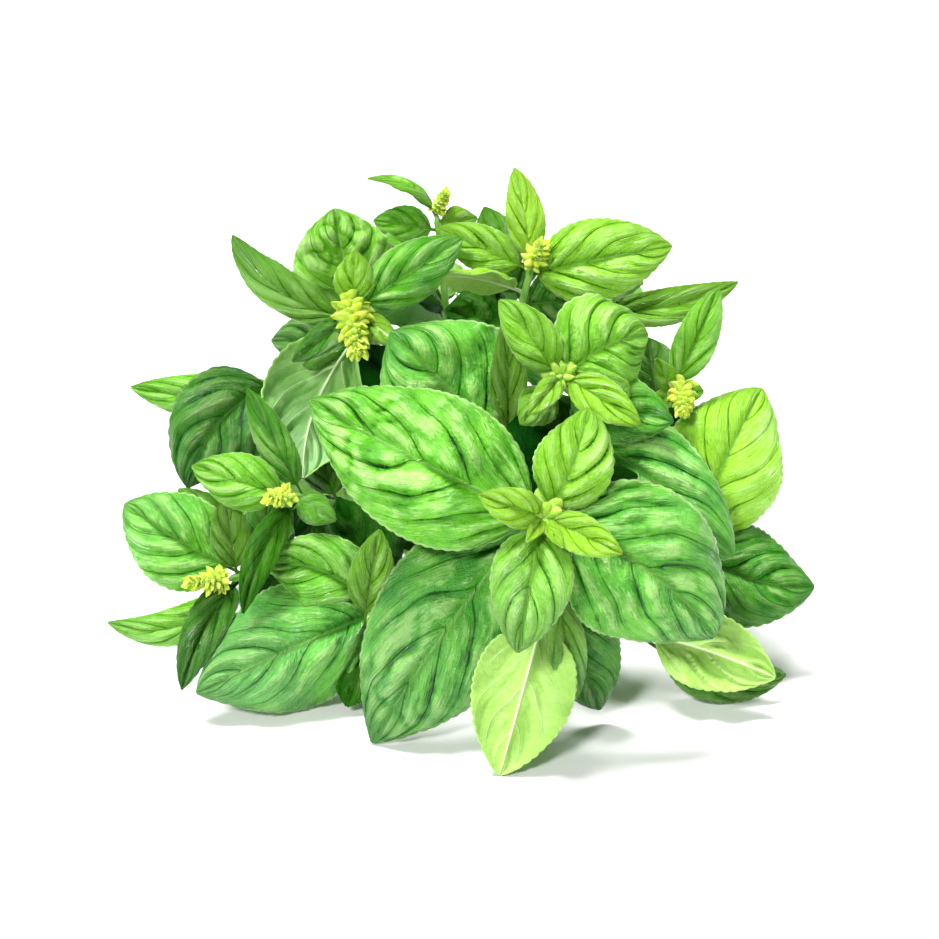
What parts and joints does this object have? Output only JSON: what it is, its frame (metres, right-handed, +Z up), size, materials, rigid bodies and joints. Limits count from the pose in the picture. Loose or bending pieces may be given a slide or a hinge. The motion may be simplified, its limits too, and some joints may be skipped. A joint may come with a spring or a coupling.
{
  "type": "basil bunch",
  "caption": "Loose bunch of cut sweet basil lying down: broad quilted leaves fanned out at one end, small yellow-green flower bud heads, square stems trailing to the cut end",
  "frame": {"origin": "middle of the bunch's footprint, on the surface it lies on", "axes": "+Y along the bunch towards the cut ends of the stems, +X across it, +Z up; the heads of leaves face -Y"},
  "size_m": [0.2325, 0.2509, 0.159],
  "materials": {
    "leaf": "fresh green leaf and stem, soft satin sheen",
    "bud": "yellow-green flower buds, matt and finely downy"
  },
  "bodies": {
    "root": {"buds_left": "bud", "buds_lower_left": "bud", "buds_right": "bud", "buds_top": "bud", "buds_top_left": "bud", "buds_upper_left": "bud", "stem_back_left": "leaf", "stem_back_right": "leaf", "stem_back_top": "leaf", "stem_centre": "leaf", "stem_centre_back": "leaf", "stem_front": "leaf", "stem_front_low": "leaf", "stem_left": "leaf", "stem_left_back": "leaf", "stem_low_left": "leaf", "stem_lower_left": "leaf", "stem_right": "leaf", "stem_right_back": "leaf", "stem_right_floor": "leaf", "stem_right_low": "leaf", "stem_top": "leaf", "stem_top_left": "leaf", "stem_top_left_back": "leaf", "stem_upper_left": "leaf"}
  },
  "joints": []
}
